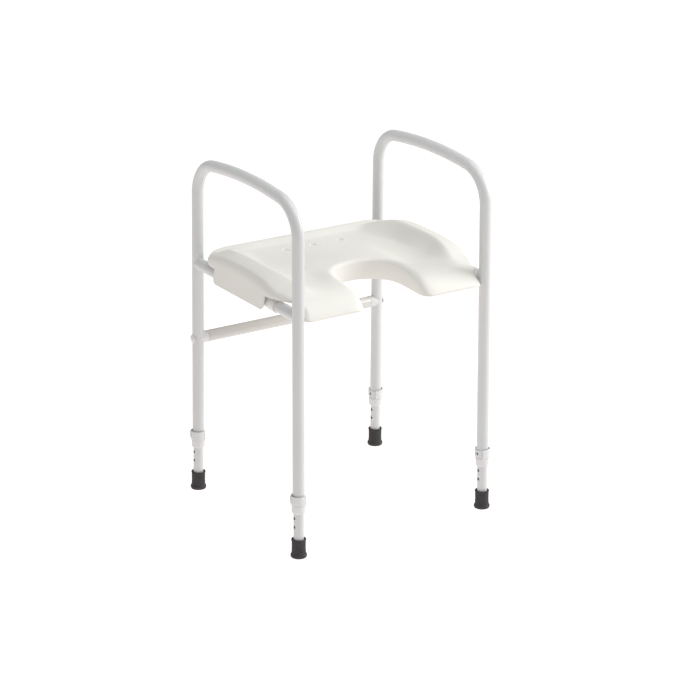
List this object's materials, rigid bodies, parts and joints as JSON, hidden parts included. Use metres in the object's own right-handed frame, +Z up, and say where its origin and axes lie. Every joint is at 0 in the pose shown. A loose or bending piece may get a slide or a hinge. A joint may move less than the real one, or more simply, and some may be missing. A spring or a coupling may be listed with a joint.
{
  "type": "raised toilet seat",
  "caption": "Raised toilet seat: ivory moulded seat with a front cut-out on a white tubular frame with arched armrests, a rear cross bar and pin-locked telescopic legs on rubber feet.",
  "frame": {"origin": "on the floor, midway between the four feet", "axes": "+Z up; +Y towards the back of the seat, so the cut-out opens to -Y; +X to the seated person's left"},
  "size_m": [0.5062, 0.455, 0.7773],
  "materials": {
    "white_powder_coat": "smooth satin powder coat on bent steel tube",
    "grey_white_powder_coat": "satin powder coat, slightly warmer",
    "ivory_plastic": "satin moulded polypropylene",
    "pale_plastic": "satin moulded nylon",
    "pale_cap": "satin coated bolt head",
    "grey_rubber": "matt moulded rubber",
    "zinc_steel": "zinc plated"
  },
  "bodies": {
    "frame": {"left_side_frame": "white_powder_coat", "left_seat_rail": "white_powder_coat", "left_bar_saddle": "pale_plastic", "left_bar_bolt": "pale_cap", "left_bar_plug": "pale_plastic", "right_side_frame": "white_powder_coat", "right_seat_rail": "white_powder_coat", "right_bar_saddle": "pale_plastic", "right_bar_bolt": "pale_cap", "right_bar_plug": "pale_plastic", "rear_cross_bar": "grey_white_powder_coat", "seat": "ivory_plastic", "front_left_leg_collar": "pale_plastic", "front_left_seat_clip": "ivory_plastic", "front_right_leg_collar": "pale_plastic", "front_right_seat_clip": "ivory_plastic", "rear_left_leg_collar": "pale_plastic", "rear_left_seat_clip": "ivory_plastic", "rear_right_leg_collar": "pale_plastic", "rear_right_seat_clip": "ivory_plastic"},
    "front_left_leg": {"front_left_inner_leg": "white_powder_coat", "front_left_ferrule": "grey_rubber", "front_left_ferrule_washer": "zinc_steel"},
    "front_left_lock": {"front_left_lock_clip": "pale_plastic"},
    "front_right_leg": {"front_right_inner_leg": "white_powder_coat", "front_right_ferrule": "grey_rubber", "front_right_ferrule_washer": "zinc_steel"},
    "front_right_lock": {"front_right_lock_clip": "pale_plastic"},
    "rear_left_leg": {"rear_left_inner_leg": "white_powder_coat", "rear_left_ferrule": "grey_rubber", "rear_left_ferrule_washer": "zinc_steel"},
    "rear_left_lock": {"rear_left_lock_clip": "pale_plastic"},
    "rear_right_leg": {"rear_right_inner_leg": "white_powder_coat", "rear_right_ferrule": "grey_rubber", "rear_right_ferrule_washer": "zinc_steel"},
    "rear_right_lock": {"rear_right_lock_clip": "pale_plastic"}
  },
  "joints": [
    {"name": "front_left_leg_slide", "type": "slide", "parent": "frame", "child": "front_left_leg", "axis": [-0.007, -0.013, -0.9999], "range_m": [-0.04, 0.06]},
    {"name": "front_left_lock_pull", "type": "slide", "parent": "frame", "child": "front_left_lock", "axis": [-1, 0.0001, 0.007], "range_m": [0, 0.045], "deforming": ["front_left_lock_clip"]},
    {"name": "front_right_leg_slide", "type": "slide", "parent": "frame", "child": "front_right_leg", "axis": [0.007, -0.013, -0.9999], "range_m": [-0.04, 0.06]},
    {"name": "front_right_lock_pull", "type": "slide", "parent": "frame", "child": "front_right_lock", "axis": [1, 0.0001, 0.007], "range_m": [0, 0.045], "deforming": ["front_right_lock_clip"]},
    {"name": "rear_left_leg_slide", "type": "slide", "parent": "frame", "child": "rear_left_leg", "axis": [-0.007, 0.013, -0.9999], "range_m": [-0.04, 0.06]},
    {"name": "rear_left_lock_pull", "type": "slide", "parent": "frame", "child": "rear_left_lock", "axis": [-1, -0.0001, 0.007], "range_m": [0, 0.045], "deforming": ["rear_left_lock_clip"]},
    {"name": "rear_right_leg_slide", "type": "slide", "parent": "frame", "child": "rear_right_leg", "axis": [0.007, 0.013, -0.9999], "range_m": [-0.04, 0.06]},
    {"name": "rear_right_lock_pull", "type": "slide", "parent": "frame", "child": "rear_right_lock", "axis": [1, -0.0001, 0.007], "range_m": [0, 0.045], "deforming": ["rear_right_lock_clip"]}
  ]
}
